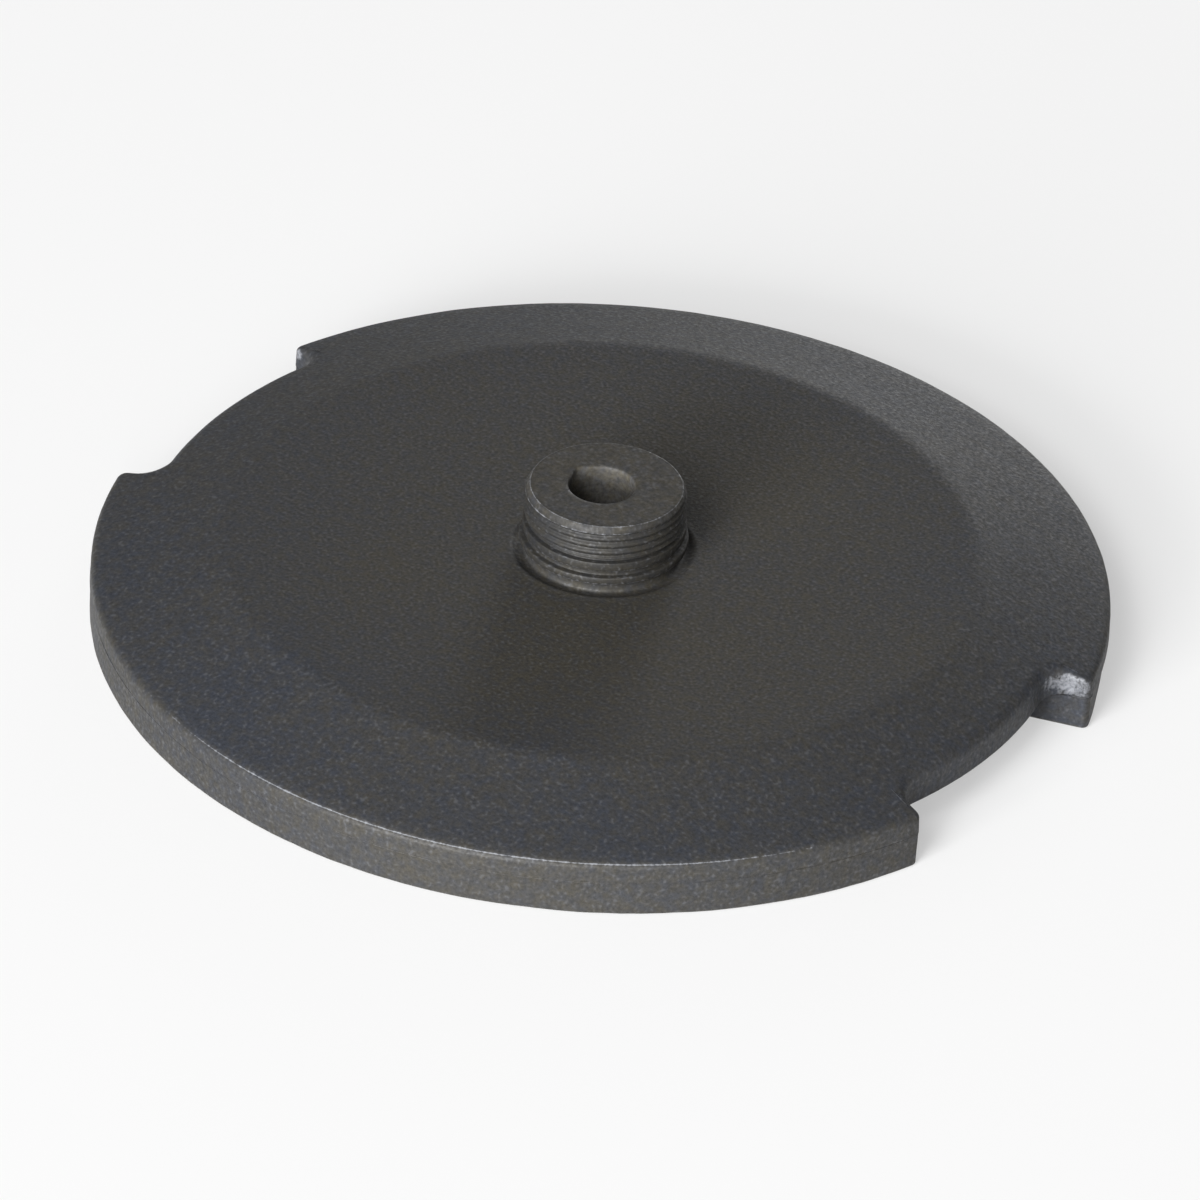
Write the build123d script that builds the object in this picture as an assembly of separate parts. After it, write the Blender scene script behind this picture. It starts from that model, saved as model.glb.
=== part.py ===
from build123d import *
import math
import os

os.makedirs("parts", exist_ok=True)

# A cast-iron weight for an umbrella base: a round disc that lies flat on z = 0, with a raised
# flat round a threaded hub, and two hand notches in its rim. The origin is the centre of the
# underside, the hub points to +Z, and the notches open towards +X and -X. Millimetres.

# Disc, cast in two mould halves that meet at the parting plane
disc_diameter = 300.0
parting_height = 11.0
rim_height = 17.0
shoulder_width = 39.5     # from the rim in to the raised flat, seen from above
flat_height = 27.5
shoulder_crown_radius = 20.0
wall_draft = 1.0          # degrees that every cast wall leans, away from the parting plane
rim_edge_radius = 2.0
foot_edge_chamfer = 0.6

# Hand notches: an open mouth above the parting plane, and under its shelf a deeper pocket
notch_angle = 34.0
mouth_depth = 13.0        # from the rim in to the shelf
shelf_width = 16.5        # from the shelf's edge in to the pocket's back wall
shelf_corner_radius = 8.0
pocket_corner_radius = 4.0
mouth_corner_radius = 2.5
pocket_root_radius = 2.0

# Hub, from the raised flat upward: each band has a diameter and a height
moat_diameter = 52.8
moat_depth = 1.0
neck_diameter = 47.0
neck_height = 2.8
ring_diameter = 49.8
ring_height = 2.2
groove_diameter = 46.6
groove_height = 1.8
collar_diameter = 48.2
collar_height = 2.8
relief_diameter = 44.6
relief_height = 1.4
thread_diameter = 47.8
thread_length = 8.5
hub_chamfer_width = 1.0
hub_chamfer_height = 2.0

# Cored hole, wider at the underside because the core tapers towards the hub's top
bore_foot_diameter = 24.0
bore_top_diameter = 18.6
bore_edge_chamfer = 0.8

# Values that follow from those above
rim_radius = disc_diameter / 2
flat_radius = rim_radius - shoulder_width
shelf_radius = rim_radius - mouth_depth
pocket_radius = shelf_radius - shelf_width
half_notch = notch_angle / 2
hub_bands = [
    (neck_diameter, neck_height),
    (ring_diameter, ring_height),
    (groove_diameter, groove_height),
    (collar_diameter, collar_height),
    (relief_diameter, relief_height),
    (thread_diameter, thread_length),
]
thread_top = flat_height + sum(height for diameter, height in hub_bands)
hub_height = thread_top + hub_chamfer_height
past_rim = 10.0           # how far the half section runs on past the rim
into_metal = 1.0          # how far an added root reaches behind the surfaces that it rounds
root_overrun = 1.0        # degrees that a root runs on into the end walls


def polar(radius, degrees):
    angle = math.radians(degrees)
    return (radius * math.cos(angle), radius * math.sin(angle))


def from_axis(point):
    return math.hypot(point.X, point.Y)


def lean(height):
    """How far a drafted wall has moved sideways over a height."""
    return height * math.tan(math.radians(wall_draft))


def notched_outline(inner_radius, inner_corner_radius):
    """The disc in plan at the parting plane, with both notches cut in as far as a radius."""
    lines = []
    for turn in (0, 180):
        first_mouth = polar(rim_radius, turn - half_notch)
        first_corner = polar(inner_radius, turn - half_notch)
        last_corner = polar(inner_radius, turn + half_notch)
        last_mouth = polar(rim_radius, turn + half_notch)
        next_mouth = polar(rim_radius, turn + 180 - half_notch)
        lines.append(Line(first_mouth, first_corner))
        lines.append(ThreePointArc(first_corner, polar(inner_radius, turn), last_corner))
        lines.append(Line(last_corner, last_mouth))
        lines.append(ThreePointArc(last_mouth, polar(rim_radius, turn + 90), next_mouth))
    outline = make_face(lines)
    halfway = (inner_radius + rim_radius) / 2
    inner_corners = [v for v in outline.vertices() if from_axis(v) < halfway]
    outline = fillet(inner_corners, inner_corner_radius)
    mouth_corners = [v for v in outline.vertices() if from_axis(v) > rim_radius - 0.01]
    return fillet(mouth_corners, mouth_corner_radius)


def drafted(outline, far_level):
    """A half mould whose outline is true at the parting plane and leans in to another level."""
    height = abs(far_level - parting_height)
    towards_parting = (0, 0, math.copysign(1, parting_height - far_level))
    far_outline = Pos(0, 0, far_level) * offset(outline, amount=-lean(height))
    return extrude(far_outline, amount=height, dir=towards_parting, taper=-wall_draft)


def top_profile():
    """Half section of all that lies above the parting plane, run on past the rim."""
    slope = (flat_height - rim_height) / shoulder_width
    outer = rim_radius + past_rim
    points = [
        (0, parting_height),
        (outer, parting_height),
        (outer, rim_height - slope * past_rim),
        (flat_radius, flat_height),
        (moat_diameter / 2, flat_height),
        (moat_diameter / 2, flat_height - moat_depth),
        (neck_diameter / 2, flat_height - moat_depth),
    ]
    level = flat_height
    for (diameter, height), (next_diameter, next_height) in zip(hub_bands, hub_bands[1:]):
        level += height
        points.append((diameter / 2, level))
        points.append((next_diameter / 2, level))
    points.append((thread_diameter / 2, thread_top))
    points.append((thread_diameter / 2 - hub_chamfer_width, hub_height))
    points.append((0, hub_height))
    section = make_face(Polyline([(x, 0, z) for x, z in points], close=True))
    flat_edge = section.vertices().sort_by_distance((flat_radius, 0, flat_height))[0]
    return fillet(flat_edge, shoulder_crown_radius)


def upper_half():
    """Rim, shoulder, raised flat and hub, with the open mouths of the notches."""
    outline = notched_outline(shelf_radius, shelf_corner_radius)
    return drafted(outline, hub_height) & revolve(top_profile(), Axis.Z)


def lower_half():
    """Underside and foot of the rim, with the finger pockets."""
    outline = notched_outline(pocket_radius, pocket_corner_radius)
    return drafted(outline, 0)


def round_rim(disc):
    """Round the whole top edge: rim, mouths and shelves in one run."""
    run = []
    for edge in disc.edges():
        span = edge.bounding_box()
        above_parting = span.min.Z > parting_height + 0.5
        below_flat = span.max.Z < flat_height
        if above_parting and below_flat and from_axis(edge.center()) > shelf_radius - shelf_corner_radius:
            run.append(edge)
    return fillet(run, rim_edge_radius)


def break_foot(disc):
    """Break the bottom edge of the rim and of the finger pockets."""
    underside = disc.faces().sort_by(Axis.Z)[0]
    return chamfer(underside.outer_wire().edges(), foot_edge_chamfer)


def cut_bore(disc):
    """The cored hole through the hub, with its mouths chamfered."""
    core = Cone(bore_foot_diameter / 2, bore_top_diameter / 2, hub_height)
    disc -= Pos(0, 0, hub_height / 2) * core
    mouths = []
    for edge in disc.edges().filter_by(GeomType.CIRCLE):
        on_axis = from_axis(edge.arc_center) < 0.01
        if on_axis and edge.radius < bore_foot_diameter / 2 + 0.01:
            mouths.append(edge)
    return chamfer(mouths, bore_edge_chamfer)


def pocket_root(turn):
    """The rounded root where a pocket's back wall meets its roof, run on into the end walls."""
    draft = math.radians(wall_draft)
    centre_z = parting_height - pocket_root_radius
    centre_r = pocket_radius - lean(pocket_root_radius) + pocket_root_radius / math.cos(draft)
    wall_r = centre_r - pocket_root_radius * math.cos(draft)
    wall_z = centre_z + pocket_root_radius * math.sin(draft)
    halfway = math.radians(135)
    arc_r = centre_r + pocket_root_radius * math.cos(halfway)
    arc_z = centre_z + pocket_root_radius * math.sin(halfway)
    section = make_face([
        ThreePointArc((centre_r, 0, parting_height), (arc_r, 0, arc_z), (wall_r, 0, wall_z)),
        Line((wall_r, 0, wall_z), (wall_r - into_metal, 0, wall_z)),
        Line((wall_r - into_metal, 0, wall_z), (wall_r - into_metal, 0, parting_height + into_metal)),
        Line((wall_r - into_metal, 0, parting_height + into_metal), (centre_r, 0, parting_height + into_metal)),
        Line((centre_r, 0, parting_height + into_metal), (centre_r, 0, parting_height)),
    ])
    reach = half_notch + root_overrun
    return Rot(0, 0, turn - reach) * revolve(section, Axis.Z, revolution_arc=2 * reach)


def weight_disc():
    disc = upper_half() + lower_half()
    disc = round_rim(disc)
    disc = break_foot(disc)
    disc = cut_bore(disc)
    for turn in (0, 180):
        disc += pocket_root(turn)
    return disc


export_step(weight_disc(), "parts/weight_disc.step")
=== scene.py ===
import bpy
import cmath
import math
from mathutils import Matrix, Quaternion, Vector, noise


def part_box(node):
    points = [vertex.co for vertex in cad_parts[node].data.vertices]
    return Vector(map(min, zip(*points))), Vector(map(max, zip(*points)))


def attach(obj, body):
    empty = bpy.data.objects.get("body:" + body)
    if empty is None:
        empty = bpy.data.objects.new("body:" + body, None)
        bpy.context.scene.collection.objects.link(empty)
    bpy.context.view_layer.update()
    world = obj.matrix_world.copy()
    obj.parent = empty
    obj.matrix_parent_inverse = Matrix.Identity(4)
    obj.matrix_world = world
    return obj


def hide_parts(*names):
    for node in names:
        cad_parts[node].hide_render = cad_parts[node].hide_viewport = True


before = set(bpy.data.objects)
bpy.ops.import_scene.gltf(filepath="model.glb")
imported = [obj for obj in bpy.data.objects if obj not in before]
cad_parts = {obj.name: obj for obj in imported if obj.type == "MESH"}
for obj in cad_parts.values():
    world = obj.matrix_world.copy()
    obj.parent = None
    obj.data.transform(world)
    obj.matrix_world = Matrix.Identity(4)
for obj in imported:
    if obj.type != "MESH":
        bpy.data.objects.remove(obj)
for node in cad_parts.values():
    node.data.update()                # so that its bounds are known at once
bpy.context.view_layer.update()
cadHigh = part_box("weight_disc")[1]
mm = 0.001
bpy.context.scene.view_settings.view_transform = "Standard"
print("frame loaded", [round(v, 5) for v in cadHigh])


def linearColour(hexColour):          # sRGB hex to the linear values that the sockets take
    channels = [int(hexColour[i:i + 2], 16) / 255 for i in (1, 3, 5)]
    linear = [c / 12.92 if c <= 0.04045 else ((c + 0.055) / 1.055) ** 2.4 for c in channels]
    return (*linear, 1.0)


def addNode(tree, kind, settings=None, values=None, links=None):
    node = tree.nodes.new(kind)
    for name, value in (settings or {}).items():
        setattr(node, name, value)
    for name, value in (values or {}).items():
        node.inputs[name].default_value = value
    for name, source in (links or {}).items():
        tree.links.new(source, node.inputs[name])
    return node


def unit(degrees):                    # a direction in plan, as x + y i
    return complex(math.cos(math.radians(degrees)), math.sin(math.radians(degrees)))


def turnOf(point):                    # and back to degrees
    return math.degrees(cmath.phase(point))


def steps(first, last, count):        # evenly from first, stopping one short of last
    return [first + (last - first) * i / count for i in range(count)]


def blendValue(a, b, t):
    return a + (b - a) * t


def smooth(low, high, value):
    t = min(1.0, max(0.0, (value - low) / (high - low)))
    return t * t * (3 - 2 * t)


# camera: same height, side and distance as the photograph's, and level with its slight tilt
cameraSetup = {
    "azimuth": 33.0,                  # degrees round from -Y towards +X
    "elevation": 33.58,
    "tilt": 3.36,                     # the disc's right side lies lower in the picture
    "distance": 4.391,
    "lens": 448.0,                    # disc fills 85 % of the width
    "target": (0, 0, 8.5 * mm),
}
azimuth = math.radians(cameraSetup["azimuth"])
elevation = math.radians(cameraSetup["elevation"])
backwards = Vector((math.sin(azimuth) * math.cos(elevation),
                    -math.cos(azimuth) * math.cos(elevation),
                    math.sin(elevation)))
cameraData = bpy.data.cameras.new("studioCamera")
cameraData.lens = cameraSetup["lens"]
cameraData.sensor_width = 36.0
cameraData.clip_start = 0.1
cameraData.clip_end = 100.0
camera = bpy.data.objects.new("studioCamera", cameraData)
bpy.context.scene.collection.objects.link(camera)
camera.location = backwards * cameraSetup["distance"]
camera.rotation_mode = "QUATERNION"
looking = (Vector(cameraSetup["target"]) - camera.location).to_track_quat("-Z", "Y")
camera.rotation_quaternion = looking @ Quaternion((0, 0, 1), math.radians(cameraSetup["tilt"]))
bpy.context.scene.camera = camera
print("camera placed")


# the casting, in millimetres; overall sizes come from the frame
discShape = {
    "rimRadius": cadHigh.y / mm,
    "hubHeight": cadHigh.z / mm,
    "partingHeight": 11.0,
    "rimHeight": 17.0,
    "flatHeight": 27.5,
    "shoulderWidth": 39.5,
    "crownRadius": 20.0,
    "draft": math.tan(math.radians(1)),
    "rimRound": 1.6,
    "shelfRound": 2.6,                # the sand gave way more where the shelf ends
    "footRound": 0.7,
    "halfNotch": 17.0,                # degrees each side of the notch's middle
    "mouthDepth": 13.0,
    "shelfWidth": 16.5,
    "shelfCorner": 8.0,
    "pocketCorner": 4.0,
    "mouthCorner": 2.5,
    "pocketRoot": 2.0,
    "mouldShift": 0.06,               # lower half of the mould sits this much inside the upper
    "mouldStep": {"turn": 31, "spread": 14, "amount": 1.0},     # and more than that beside one notch
    "boreFoot": 12.0,                 # radii of the cored hole
    "boreTop": 9.3,
    "boreLean": 1.4,                  # how far the core had leant at the top
    "boreNick": {"turn": 165, "spread": 22, "depth": 1.1},      # a bit of its edge broke away
    "columns": {"shelf": 20, "corner": 16, "end": 5, "mouth": 6, "rim": 62},    # in each quarter
}
rimRadius = discShape["rimRadius"]
shelfRadius = rimRadius - discShape["mouthDepth"]
pocketRadius = shelfRadius - discShape["shelfWidth"]
flatRadius = rimRadius - discShape["shoulderWidth"]
slope = (discShape["flatHeight"] - discShape["rimHeight"]) / discShape["shoulderWidth"]


def topHeight(radius):                # flat, crown arc, then the cone of the shoulder
    crown = discShape["crownRadius"]
    start = flatRadius - crown * math.tan(math.atan(slope) / 2)
    if radius <= start:
        return discShape["flatHeight"]
    if radius < start + crown * math.sin(math.atan(slope)):
        return discShape["flatHeight"] - crown + math.sqrt(crown ** 2 - (radius - start) ** 2)
    return discShape["flatHeight"] - slope * (radius - flatRadius)


def notchLine(innerRadius, corner, backCount, cornerCounts, wallCounts, firstColumn):
    # one mould half's outline for the first quarter turn, as (point, outward direction) pairs
    half = discShape["halfNotch"]
    count = discShape["columns"]
    wall = unit(half)
    acrossWall = wall * -1j           # from the metal into the notch
    centreTurn = half - math.degrees(math.asin(corner / (innerRadius + corner)))
    centre = (innerRadius + corner) * unit(centreTurn)
    line = [(innerRadius * unit(a), unit(a)) for a in steps(0, centreTurn, backCount)]
    for a in steps(centreTurn + 180, half + 90, cornerCounts):
        line.append((centre + corner * unit(a), -unit(a)))
    wallStart = math.sqrt((innerRadius + corner) ** 2 - corner ** 2)
    mouth = discShape["mouthCorner"]
    mouthTurn = half + math.degrees(math.asin(mouth / (rimRadius - mouth)))
    mouthCentre = (rimRadius - mouth) * unit(mouthTurn)
    wallEnd = math.sqrt((rimRadius - mouth) ** 2 - mouth ** 2)
    if wallCounts:
        line += [(r * wall, acrossWall) for r in steps(wallStart, firstColumn, wallCounts)]
    line += [(r * wall, acrossWall) for r in steps(firstColumn, wallEnd, count["end"])]
    for a in steps(half - 90, mouthTurn, count["mouth"]):
        line.append((mouthCentre + mouth * unit(a), unit(a)))
    line += [(rimRadius * unit(a), unit(a)) for a in steps(mouthTurn, 90, count["rim"])]
    line.append((rimRadius * 1j, 1j))
    return line


def wholeLine(quarter):               # the quarter, mirrored and turned into the whole outline
    last = len(quarter) - 1
    line = [quarter[i] for i in range(last)]
    line += [tuple(-v.conjugate() for v in quarter[i]) for i in range(last, 0, -1)]
    line += [tuple(-v for v in quarter[i]) for i in range(last)]
    line += [tuple(v.conjugate() for v in quarter[i]) for i in range(last, 0, -1)]
    return line


counts = discShape["columns"]
shelfEnd = math.sqrt((shelfRadius + discShape["shelfCorner"]) ** 2 - discShape["shelfCorner"] ** 2)
pocketColumns = 6                     # of the corner's columns, those that the tighter pocket corner takes
upperLine = wholeLine(notchLine(shelfRadius, discShape["shelfCorner"], counts["shelf"],
                                counts["corner"], 0, shelfEnd))
lowerLine = wholeLine(notchLine(pocketRadius, discShape["pocketCorner"], counts["shelf"],
                                pocketColumns, counts["corner"] - pocketColumns, shelfEnd))


def spokeFan(shelfTurn, cornerTurn, wallTurn):  # where columns cross the round rings further in
    wallColumns = counts["corner"] - pocketColumns + counts["end"] + counts["mouth"]
    spokeTurns = steps(0, shelfTurn, counts["shelf"]) + steps(shelfTurn, cornerTurn, pocketColumns)
    spokeTurns += steps(cornerTurn, wallTurn, wallColumns) + steps(wallTurn, 90, counts["rim"]) + [90]
    return [pair[0] for pair in wholeLine([(unit(a),) for a in spokeTurns])]


spokes = spokeFan(15.2, 16.2, 20.5)
underSpokes = spokeFan(14.0, 17.6, 26.0)        # the deeper pockets need a wider fan
columnCount = len(spokes)
print("outline:", columnCount, "columns")

rings = []                            # lists of (x, y, z) in mm, one for each column
ringTraits = []                       # for each ring: how worn its coat is (on the rim's front edge partly a painted highlight), how rough, and how pale (in the bore painted light)


def addRing(plan, heights, wornAndHighlit=0.0, rough=0.5, toneAndPaintedLight=1.0):
    if not isinstance(heights, list):
        heights = [heights] * columnCount
    rings.append([(p.real, p.imag, h) for p, h in zip(plan, heights)])
    ringTraits.append((wornAndHighlit, rough, toneAndPaintedLight))


def roundRing(radius, fan=spokes):
    return [radius * s for s in fan]


def inset(line, amounts):
    if not isinstance(amounts, list):
        amounts = [amounts] * columnCount
    return [point - amount * outward for (point, outward), amount in zip(line, amounts)]


# cored hole, foot to top: the core leaned a little, and its sand left a rough wall
boreLean = -unit(cameraSetup["azimuth"]) * discShape["boreLean"]
hubHeight = discShape["hubHeight"]
nick = discShape["boreNick"]
nickDepths = []
for s in spokes:
    away = abs(turnOf(s / unit(nick["turn"])))
    nickDepths.append(nick["depth"] * (1 - smooth(0, nick["spread"], away)))
# the wall and its broken edge are painted paler towards the top, 1.1 to 1.9 times: painted light falling
# into the hole
for t in [0.015, 0.05] + steps(0.1, 0.9, 12) + [0.9, 0.94, 0.97]:
    radius = blendValue(discShape["boreFoot"], discShape["boreTop"], t)
    broken = smooth(0.93, 0.98, t)
    plan = [(radius + broken * depth) * s + boreLean * t for s, depth in zip(spokes, nickDepths)]
    addRing(plan, hubHeight * t, 0.0, 2.4, blendValue(1.1, 1.9, smooth(0.3, 0.9, t)))
brokenEdge = [(discShape["boreTop"] + 0.2 + depth) * s + boreLean for s, depth in zip(spokes, nickDepths)]
addRing(brokenEdge, hubHeight - 0.35, 0.1, 2.0, 1.6)

# hub: turned after casting; each corner is (radius, height, easing, wear)
hubShape = {
    "corners": [
        (22.5, hubHeight, 0.3, 0.8),
        (23.8, 47.0, 0.3, 0.75),
        (23.8, 38.5, 0.3, 0.0),
        (22.3, 38.5, 0.25, 0.0),
        (22.3, 37.1, 0.25, 0.0),
        (24.1, 37.1, 0.35, 0.2),
        (24.1, 34.3, 0.45, 0.7),
        (23.0, 34.3, 0.3, 0.0),
        (23.0, 32.5, 0.3, 0.0),
        (24.9, 32.5, 0.45, 0.25),
        (24.9, 30.3, 0.45, 0.75),
        (23.0, 30.3, 0.4, 0.0),
        (23.0, 26.5, 0.8, 0.0),
        (25.6, 26.5, 0.8, 0.0),
        (27.0, 27.5, 0.7, 0.3),
    ],
    "threadFoot": 38.5,
    "threadTop": 47.6,
    "crestRadius": 23.8,
    "pitch": 2.309,                   # 11 turns to 25.4 mm
    "threadDepth": 0.8,
    "threadStep": 0.26,
    "sidePaleness": 0.6,              # the coat's colour on the hub's side is multiplied by this
}


def threadRadius(height, turn):       # right-hand thread with rounded crests and roots
    phase = (height - hubShape["threadFoot"]) / hubShape["pitch"] - turn
    flank = abs(2 * (phase - math.floor(phase)) - 1)
    return hubShape["crestRadius"] - hubShape["threadDepth"] * (1 - smooth(0.0, 0.8, flank))


def easedProfile(corners):            # rounds each corner of a section with three points
    path = []
    for i, (r, z, ease, wornAndHighlit) in enumerate(corners):
        here = complex(r, z)
        before = complex(*corners[i - 1][:2]) if i else complex(r - 6, z)
        after = complex(*corners[i + 1][:2]) if i + 1 < len(corners) else complex(r + 6, z)
        comeIn = (before - here) / abs(before - here)
        goOut = (after - here) / abs(after - here)
        path.append((here + comeIn * ease, wornAndHighlit * 0.4))
        path.append((here + (comeIn + goOut) * ease * 0.25, wornAndHighlit))
        path.append((here + goOut * ease, wornAndHighlit * 0.4))
    return path


turns = [turnOf(s) / 360 for s in spokes]
boreEdge = [(discShape["boreTop"] + 0.8 + depth) * s + boreLean for s, depth in zip(spokes, nickDepths)]
# the hub's top is coloured 1.15 times paler than the coat
addRing(boreEdge, hubHeight, 0.1, 0.8, 1.15)
for t in (0.12, 0.3, 0.5, 0.7, 0.88):
    plan = [blendValue(a, (hubShape["corners"][0][0] - 0.6) * s, t) for a, s in zip(boreEdge, spokes)]
    addRing(plan, hubHeight, 0.0, 0.3, 1.15)
hubPath = easedProfile(hubShape["corners"])
hubPlaces = [place for place, wornAndHighlit in hubPath]
for (here, wornAndHighlit), after in zip(hubPath, hubPlaces[1:] + [None]):
    pieces = 1
    onThread = hubShape["threadFoot"] < here.imag < hubShape["threadTop"]
    if after is not None:
        pieces = max(1, round(abs(after - here) / (hubShape["threadStep"] if onThread else 1.0)))
    for i in range(pieces):
        at = here if after is None else blendValue(here, after, i / pieces)
        if hubShape["threadFoot"] + 0.05 < at.imag < hubShape["threadTop"] and at.real > 22.4:
            plan = [min(at.real, threadRadius(at.imag, turn)) * s for s, turn in zip(spokes, turns)]
        else:
            plan = roundRing(at.real)
        onSide = 28.5 < at.imag < hubShape["corners"][1][1] + 0.4
        addRing(plan, at.imag, wornAndHighlit if i == 0 else 0.0, 0.12, hubShape["sidePaleness"] if onSide else 1.0)
print("hub:", len(rings), "rings")

# raised flat, crown and the round part of the shoulder
for radius in [28.2, 30, 32.5, 35.5] + steps(39, 107, 22) + steps(107, 114, 8):
    addRing(roundRing(radius), topHeight(radius), 0.0, 0.5)

# shoulder: round rings turn into the notched outline
parting = discShape["partingHeight"]
draft = discShape["draft"]
edgeRounds = []                       # wider along the shelves than on the rim
for point, outward in upperLine:
    share = smooth(shelfRadius + 3, rimRadius - 2, abs(point))
    edgeRounds.append(blendValue(discShape["shelfRound"], discShape["rimRound"], share))
innerEdge = inset(upperLine, [r + 0.3 for r in edgeRounds])
roundStart = roundRing(114)
for t in steps(0, 1, 11):
    plan = [blendValue(a, b, t) for a, b in zip(roundStart, innerEdge)]
    addRing(plan, [topHeight(abs(p)) for p in plan], 0.0, 0.55)

# rim edge: a quarter round on the slope, all along the rim, the mouths and the shelves
for turn in steps(0, 90, 9) + [90]:
    plan, heights = [], []
    for (point, outward), edge in zip(upperLine, edgeRounds):
        top = topHeight(abs(point))
        drop = edge * (1 - math.cos(math.radians(turn)))
        lean = (top - drop - parting) * draft
        at = point - (edge * (1 - math.sin(math.radians(turn))) + lean) * outward
        plan.append(at)
        heights.append(blendValue(topHeight(abs(at)), top, turn / 90) - drop)
    # the edge's pale wear peaks 30° round the quarter round; along the rim's front this band is partly
    # real wear, partly a painted highlight
    addRing(plan, heights, max(0.0, 1.0 - abs(turn - 30) / 16), 0.7)

# walls down to the parting plane, the shelf's underside, then walls down to the foot
lastTops = [p[2] for p in rings[-1]]
for t in (0.2, 0.4, 0.6, 0.8, 0.93, 1.0):
    heights = [blendValue(top, parting, t) for top in lastTops]
    addRing(inset(upperLine, [(h - parting) * draft for h in heights]), heights, 0.0, 0.7)
step = discShape["mouldStep"]
lowerShifts = []
for point, outward in lowerLine:
    nearStep = 1 - smooth(0.45, 1.0, abs(turnOf(point) - step["turn"]) / step["spread"])
    lowerShifts.append(discShape["mouldShift"] + step["amount"] * nearStep)
upperEdge = inset(upperLine, 0.12)
lowerEdge = inset(lowerLine, lowerShifts)
root = discShape["pocketRoot"]
for t in (0.0, 0.1, 0.25, 0.5, 0.75, 0.88):
    plan = [blendValue(a, b, t) for a, b in zip(upperEdge, lowerEdge)]
    addRing(plan, parting - 0.05, 0.0, 1.2)
for turn in (20, 45, 70, 90):         # rounded root, only as far as there is a shelf to hang from
    reach = [min(root, 0.45 * abs(a - b)) for a, b in zip(upperEdge, lowerEdge)]
    plan = [b + r * (1 - math.sin(math.radians(turn))) * outward
            for b, r, (point, outward) in zip(lowerEdge, reach, lowerLine)]
    heights = [parting - 0.08 - r * (1 - math.cos(math.radians(turn))) for r in reach]
    addRing(plan, heights, 0.0, 1.2)
footRound = discShape["footRound"]
lowTops = [p[2] for p in rings[-1]]
for t in (0.3, 0.6, 0.85, 1.0):
    heights = [blendValue(top, footRound, t) for top in lowTops]
    leans = [s + (parting - h) * draft for s, h in zip(lowerShifts, heights)]
    addRing(inset(lowerLine, leans), heights, 0.0, 0.9)
for turn in (25, 50, 75, 90):
    inwards = parting * draft + footRound * (1 - math.cos(math.radians(turn)))
    height = footRound * (1 - math.sin(math.radians(turn)))
    addRing(inset(lowerLine, [s + inwards for s in lowerShifts]), height, 0.35, 1.0)

# underside: the outline turns back into round rings, in to the cored hole
footEdge = inset(lowerLine, [s + parting * draft + footRound + 0.6 for s in lowerShifts])
for t in steps(0, 1, 5):
    addRing([blendValue(a, b, t) for a, b in zip(footEdge, roundRing(106, underSpokes))], 0.0, 0.0, 1.0)
for radius in steps(106, 14, 18):
    addRing(roundRing(radius, underSpokes), 0.0, 0.0, 1.0)
for radius in (14, 12.8, 12.3):
    addRing(roundRing(radius), 0.25 if radius < 12.5 else 0.0, 0.0, 1.0)
print("casting:", len(rings), "rings")

# one closed mesh, ring after ring, and the last ring joins the first
vertices = [Vector(p) for ring in rings for p in ring]
faces = []
for i in range(len(rings)):
    after = (i + 1) % len(rings)
    for j in range(columnCount):
        k = (j + 1) % columnCount
        corners = [(i, j), (after, j), (after, k), (i, k)]
        faces.append([row * columnCount + column for row, column in corners])
castMesh = bpy.data.meshes.new("castWeight")
castMesh.from_pydata([v * mm for v in vertices], [], faces)
castMesh.validate()
castWeight = bpy.data.objects.new("castWeight", castMesh)
bpy.context.scene.collection.objects.link(castWeight)
for face in castMesh.polygons:
    face.use_smooth = True
print("mesh:", len(vertices), "points,", 2 * len(faces), "triangles")

# sand-cast skin: the surface waves and pits slightly, always inwards, and worn edges have lost a little
skin = {
    "wave": (19.0, 0.16),             # width and depth in mm, where the roughness is 1
    "dimple": (6.5, 0.09),
    "pit": (3.1, 0.07),
    "chip": (4.5, 0.55),              # out of worn edges only
    "wornAndHighlitFront": {"turn": -72, "spread": 62},      # the part of the rim that is worn most, where the pale edge is also a painted highlight
    "scuffs": [                       # coat rubbed through: (radius, turn, height), reach and strength
        {"at": (139.8, 15.4, 15.6), "reach": 4.6, "strength": 0.7},
        {"at": (143.4, 16.6, 15.0), "reach": 5.4, "strength": 0.85},
        {"at": (147.0, 17.0, 14.4), "reach": 4.4, "strength": 0.75},
        {"at": (147.5, 163.5, 15.5), "reach": 3.5, "strength": 0.8},
    ],
}


def ripple(point, width):             # 0 to 1, and the same on every run
    return 0.5 + 0.5 * max(-1.0, min(1.0, 1.6 * noise.noise(point / width)))


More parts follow.
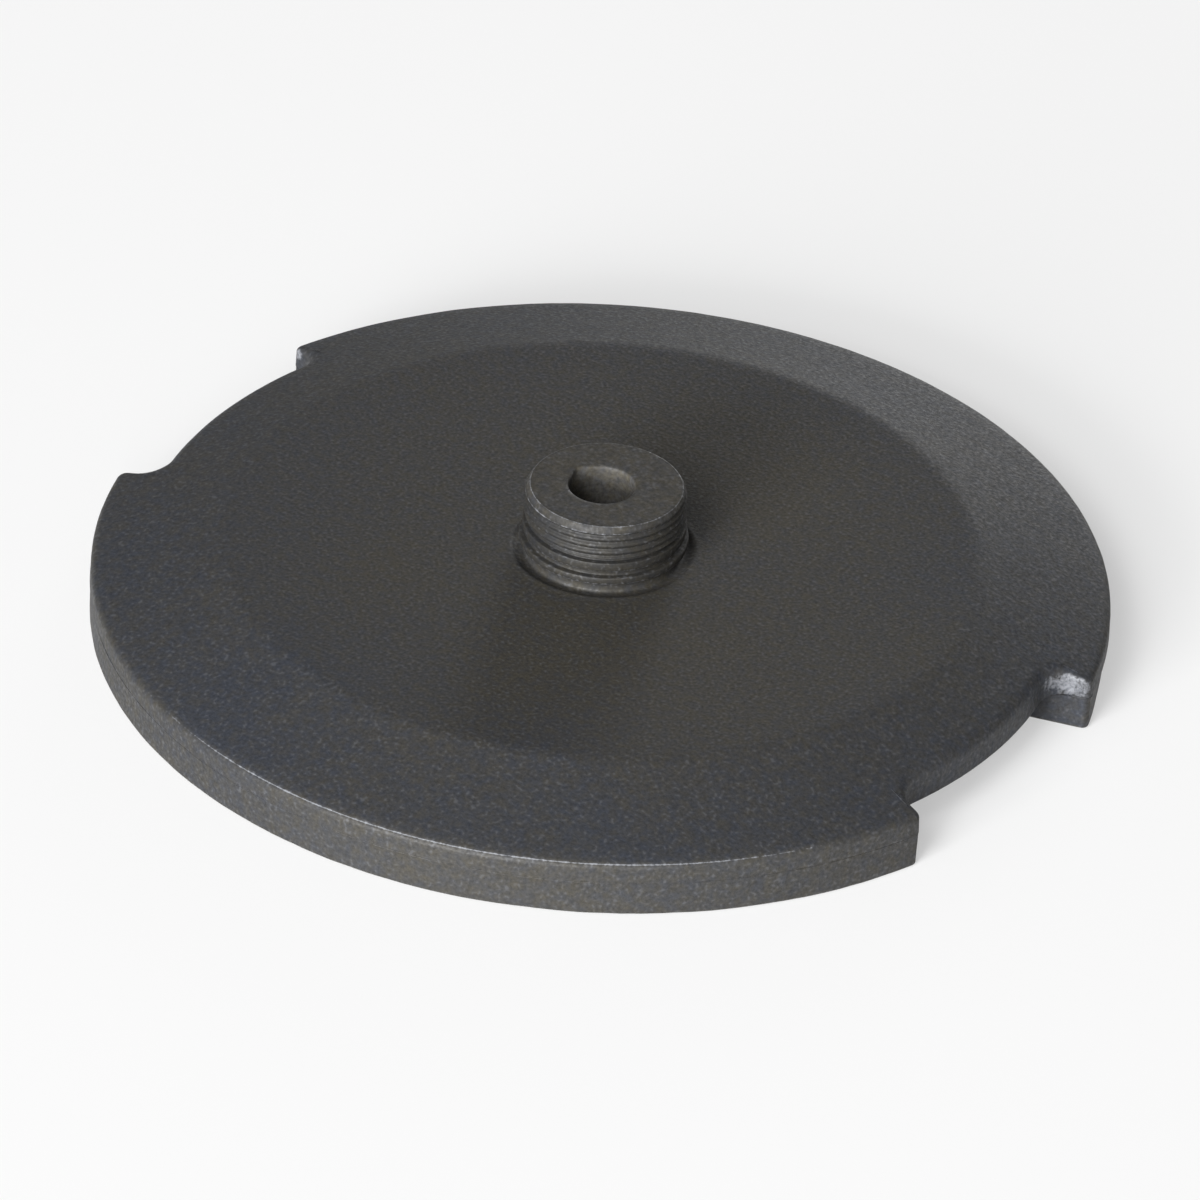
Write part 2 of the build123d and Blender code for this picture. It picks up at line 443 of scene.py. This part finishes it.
normals = [v.normal.copy() for v in castMesh.vertices]
wearAndHighlight = castMesh.attributes.new("wearAndHighlight", "FLOAT", "POINT")
palenessAndPaintedLight = castMesh.attributes.new("palenessAndPaintedLight", "FLOAT", "POINT")
scuffs = [(Vector(((r * unit(turn)).real, (r * unit(turn)).imag, z)), scuff["reach"], scuff["strength"])
          for scuff in skin["scuffs"] for r, turn, z in [scuff["at"]]]
wornAndHighlitSide = skin["wornAndHighlitFront"]
wearAndHighlightValues = []
for i, point in enumerate(vertices):
    wornAndHighlit, rough, toneAndPaintedLight = ringTraits[i // columnCount]
    layers = (skin["wave"], skin["dimple"], skin["pit"])
    depth = rough * sum(amount * ripple(point, width) for width, amount in layers)
    onRim = abs(complex(point.x, point.y)) > 60
    if onRim:
        # pale edge wear is strongest towards the rim's front: partly real wear, partly a painted highlight
        away = abs(turnOf(complex(point.x, point.y) / unit(wornAndHighlitSide["turn"])))
        wornAndHighlit *= blendValue(1.0, 0.1, smooth(0.3, 1.0, away / wornAndHighlitSide["spread"]))
        width, amount = skin["chip"]
        depth += amount * wornAndHighlit * max(0.0, ripple(point + Vector((0, 0, 50)), width) - 0.62)
    for middle, reach, strength in scuffs:
        wornAndHighlit = max(wornAndHighlit, strength * (1 - smooth(0.5, 1.0, (point - middle).length / reach)))
    castMesh.vertices[i].co = (point - normals[i] * depth) * mm
    wearAndHighlightValues.append(wornAndHighlit)
wearAndHighlight.data.foreach_set("value", wearAndHighlightValues)
palenessAndPaintedLight.data.foreach_set("value", [toneAndPaintedLight for wornAndHighlit, rough, toneAndPaintedLight in ringTraits for j in range(columnCount)])
castMesh.update()
print("skin cast")

# powder coat on sand-cast iron: charcoal polyester baked on over the sand's grain, so it is matt and
# finely mottled, brownish in the middle with a painted cool reflection tint towards the rim, with stray
# light specks;
# where it rubs on the floor or in a hand the edges go pale and a little smoother, on the rim's front edge
# partly as a painted highlight
coatLook = {
    "coat": "#2c2f36",
    "coatWarm": "#36332c",
    "underside": "#3a3935",
    "speck": "#4c4d50",
    "wornAndHighlit": "#7e8085",
    "roughness": (0.5, 0.68),         # on the grain's tops and in its hollows
    "wornAndHighlitRoughness": 0.42,
    "cloud": 60 * mm,
    "mottle": 3.0 * mm,
    "grain": 1.1 * mm,                # real sand grains are 0.2 to 0.3 mm, too fine to show here
    "speckle": 1.1 * mm,
    "grainDepth": 0.22 * mm,
}
coat = bpy.data.materials.new("powderCoatedSandCastIron")
coat.use_nodes = True
tree = coat.node_tree
shader = tree.nodes["Principled BSDF"]
shader.inputs["IOR"].default_value = 1.5
shader.inputs["Specular IOR Level"].default_value = 0.4
place = addNode(tree, "ShaderNodeTexCoord").outputs["Object"]
split = addNode(tree, "ShaderNodeSeparateXYZ", links={"Vector": place})
flatPlace = addNode(tree, "ShaderNodeCombineXYZ", links={"X": split.outputs["X"], "Y": split.outputs["Y"]})
fromAxis = addNode(tree, "ShaderNodeVectorMath", {"operation": "LENGTH"},
                   links={"Vector": flatPlace.outputs["Vector"]})
cloud = addNode(tree, "ShaderNodeTexNoise", values={"Scale": 1 / coatLook["cloud"], "Detail": 3.0},
                links={"Vector": place})
# painted cool tint standing in for reflected light: bluer outwards, and neutral on the rim's wall
paintedCoolTint = addNode(tree, "ShaderNodeMapRange", links={"Value": fromAxis.outputs["Value"]},
                  values={"From Min": 60 * mm, "From Max": 135 * mm, "To Min": 0.25, "To Max": -0.2})
paintedWallTint = addNode(tree, "ShaderNodeMapRange", links={"Value": fromAxis.outputs["Value"]},
                   values={"From Min": 147.5 * mm, "From Max": 149.3 * mm, "To Max": 0.28})
paintedTintSum = addNode(tree, "ShaderNodeMath", {"operation": "ADD"})
tree.links.new(paintedCoolTint.outputs["Result"], paintedTintSum.inputs[0])
tree.links.new(paintedWallTint.outputs["Result"], paintedTintSum.inputs[1])
warmthAndPaintedTint = addNode(tree, "ShaderNodeMath", {"operation": "ADD", "use_clamp": True})
tree.links.new(cloud.outputs["Fac"], warmthAndPaintedTint.inputs[0])
tree.links.new(paintedTintSum.outputs["Value"], warmthAndPaintedTint.inputs[1])
mottle = addNode(tree, "ShaderNodeTexNoise", values={"Scale": 1 / coatLook["mottle"], "Detail": 2.0},
                 links={"Vector": place})
mottled = addNode(tree, "ShaderNodeMapRange", links={"Value": mottle.outputs["Fac"]},
                  values={"From Min": 0.3, "From Max": 0.7, "To Min": -0.3, "To Max": 0.3})
toneShare = addNode(tree, "ShaderNodeMath", {"operation": "ADD", "use_clamp": True})
tree.links.new(warmthAndPaintedTint.outputs["Value"], toneShare.inputs[0])
tree.links.new(mottled.outputs["Result"], toneShare.inputs[1])
tone = addNode(tree, "ShaderNodeMix", {"data_type": "RGBA"}, links={"Factor": toneShare.outputs["Value"]})
tone.inputs["A"].default_value = linearColour(coatLook["coat"])
tone.inputs["B"].default_value = linearColour(coatLook["coatWarm"])
low = addNode(tree, "ShaderNodeMapRange", links={"Value": split.outputs["Z"]},
              values={"From Min": 0.3 * mm, "From Max": 1.2 * mm, "To Min": 1.0, "To Max": 0.0})
underTone = addNode(tree, "ShaderNodeMix", {"data_type": "RGBA"},
                    links={"Factor": low.outputs["Result"], "A": tone.outputs["Result"]})
underTone.inputs["B"].default_value = linearColour(coatLook["underside"])
grain = addNode(tree, "ShaderNodeTexNoise", links={"Vector": place},
                values={"Scale": 1 / coatLook["grain"], "Detail": 3.0, "Roughness": 0.6})
grainShade = addNode(tree, "ShaderNodeMapRange", links={"Value": grain.outputs["Fac"]},
                     values={"From Min": 0.3, "From Max": 0.7, "To Min": 0.62, "To Max": 1.38})
# the coat's colour times each ring's paleness: painted light in the bore, darker on the hub's side, paler
# on its top
palenessAndPaintedLightAmount = addNode(tree, "ShaderNodeAttribute", {"attribute_name": "palenessAndPaintedLight"})
shade = addNode(tree, "ShaderNodeMath", {"operation": "MULTIPLY"})
tree.links.new(grainShade.outputs["Result"], shade.inputs[0])
tree.links.new(palenessAndPaintedLightAmount.outputs["Fac"], shade.inputs[1])
grained = addNode(tree, "ShaderNodeVectorMath", {"operation": "SCALE"},
                  links={"Vector": underTone.outputs["Result"], "Scale": shade.outputs["Value"]})
speckle = addNode(tree, "ShaderNodeTexNoise", values={"Scale": 1 / coatLook["speckle"], "Detail": 0.0},
                  links={"Vector": place})
speckShare = addNode(tree, "ShaderNodeMapRange", values={"From Min": 0.66, "From Max": 0.8, "To Max": 0.5},
                     links={"Value": speckle.outputs["Fac"]})
specked = addNode(tree, "ShaderNodeMix", {"data_type": "RGBA"},
                  links={"Factor": speckShare.outputs["Result"], "A": grained.outputs["Vector"]})
specked.inputs["B"].default_value = linearColour(coatLook["speck"])
# pale worn coat, which on the rim's front edge is partly a painted highlight
wornAndHighlitAmount = addNode(tree, "ShaderNodeAttribute", {"attribute_name": "wearAndHighlight"})
wornAndHighlitGrain = addNode(tree, "ShaderNodeMath", {"operation": "MULTIPLY_ADD"})
tree.links.new(wornAndHighlitAmount.outputs["Fac"], wornAndHighlitGrain.inputs[0])
wornAndHighlitGrain.inputs[1].default_value = 0.75
tree.links.new(grain.outputs["Fac"], wornAndHighlitGrain.inputs[2])
wornAndHighlitShare = addNode(tree, "ShaderNodeMapRange", values={"From Min": 0.86, "From Max": 1.3},
                    links={"Value": wornAndHighlitGrain.outputs["Value"]})
finished = addNode(tree, "ShaderNodeMix", {"data_type": "RGBA"},
                   links={"Factor": wornAndHighlitShare.outputs["Result"], "A": specked.outputs["Result"]})
finished.inputs["B"].default_value = linearColour(coatLook["wornAndHighlit"])
tree.links.new(finished.outputs["Result"], shader.inputs["Base Color"])
smoothest, roughest = coatLook["roughness"]
sheen = addNode(tree, "ShaderNodeMapRange", links={"Value": grain.outputs["Fac"]},
                values={"From Min": 0.3, "From Max": 0.7, "To Min": roughest, "To Max": smoothest})
wornAndHighlitGloss = addNode(tree, "ShaderNodeMix",
                 links={"Factor": wornAndHighlitShare.outputs["Result"], "A": sheen.outputs["Result"]})
wornAndHighlitGloss.inputs["B"].default_value = coatLook["wornAndHighlitRoughness"]
tree.links.new(wornAndHighlitGloss.outputs["Result"], shader.inputs["Roughness"])
bump = addNode(tree, "ShaderNodeBump", values={"Strength": 0.6, "Distance": coatLook["grainDepth"]},
               links={"Height": grain.outputs["Fac"]})
tree.links.new(bump.outputs["Normal"], shader.inputs["Normal"])
castMesh.materials.append(coat)
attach(castWeight, "root")
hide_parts("weight_disc")
print("coat ready")

# studio: a white sweep under a faint even sky; three soft lights stand left of the camera and one behind
studio = {
    "floor": "#f0f0f0",
    "seenFloor": "#f7f7f7",
    "evenness": 0.5,
    "floorSize": 30.0,
    "sky": 0.2,
    "lights": [                       # turn counts from the camera's right, anticlockwise
        {"name": "keyLight", "turn": 240, "rise": 12, "away": 10.0, "size": (4.4, 3.2), "watts": 1480},
        {"name": "fillLight", "turn": 255, "rise": 22, "away": 10.0, "size": (4.4, 4.4), "watts": 520},
        {"name": "topLight", "turn": 240, "rise": 42, "away": 10.0, "size": (4.4, 4.4), "watts": 600},
        {"name": "backLight", "turn": 75, "rise": 8, "away": 10.0, "size": (3.6, 2.4), "watts": 170},
    ],
}
half = studio["floorSize"] / 2
floorMesh = bpy.data.meshes.new("studioFloor")
corners = [(-half, -half), (half, -half), (half, half), (-half, half)]
floorMesh.from_pydata([(x, y, -0.1 * mm) for x, y in corners], [], [(0, 1, 2, 3)])
floor = bpy.data.objects.new("studioFloor", floorMesh)
bpy.context.scene.collection.objects.link(floor)
paper = bpy.data.materials.new("whiteSweepPaper")
paper.use_nodes = True
paperShader = paper.node_tree.nodes["Principled BSDF"]
paperShader.inputs["Base Color"].default_value = linearColour(studio["floor"])
paperShader.inputs["Roughness"].default_value = 0.9
paperShader.inputs["Specular IOR Level"].default_value = 0.0
# seen directly or mirrored the paper is evenly white, with about half of the disc's shadow left on it
rays = addNode(paper.node_tree, "ShaderNodeLightPath")
seen = addNode(paper.node_tree, "ShaderNodeMath", {"operation": "MAXIMUM"})
paper.node_tree.links.new(rays.outputs["Is Camera Ray"], seen.inputs[0])
paper.node_tree.links.new(rays.outputs["Is Glossy Ray"], seen.inputs[1])
even = addNode(paper.node_tree, "ShaderNodeMath", {"operation": "MULTIPLY"})
paper.node_tree.links.new(seen.outputs["Value"], even.inputs[0])
even.inputs[1].default_value = studio["evenness"]
glow = addNode(paper.node_tree, "ShaderNodeEmission", values={"Color": linearColour(studio["seenFloor"])})
paperMix = addNode(paper.node_tree, "ShaderNodeMixShader")
paper.node_tree.links.new(even.outputs["Value"], paperMix.inputs[0])
paper.node_tree.links.new(paperShader.outputs["BSDF"], paperMix.inputs[1])
paper.node_tree.links.new(glow.outputs["Emission"], paperMix.inputs[2])
paperOutput = paper.node_tree.nodes["Material Output"]
paper.node_tree.links.new(paperMix.outputs["Shader"], paperOutput.inputs["Surface"])
floorMesh.materials.append(paper)
world = bpy.data.worlds.new("studioSky")
bpy.context.scene.world = world
world.use_nodes = True
world.node_tree.nodes["Background"].inputs["Color"].default_value = (1, 1, 1, 1)
world.node_tree.nodes["Background"].inputs["Strength"].default_value = studio["sky"]
for light in studio["lights"]:
    lamp = bpy.data.lights.new(light["name"], "AREA")
    lamp.shape = "RECTANGLE"
    lamp.size, lamp.size_y = light["size"]
    lamp.energy = light["watts"]
    lampObject = bpy.data.objects.new(light["name"], lamp)
    bpy.context.scene.collection.objects.link(lampObject)
    turn = math.radians(light["turn"] + cameraSetup["azimuth"])
    rise = math.radians(light["rise"])
    outward = Vector((math.cos(turn) * math.cos(rise), math.sin(turn) * math.cos(rise), math.sin(rise)))
    lampObject.location = outward * light["away"]
    lampObject.rotation_mode = "QUATERNION"
    lampObject.rotation_quaternion = (-outward).to_track_quat("-Z", "Y")
print("studio lit")

bpy.context.view_layer.update()
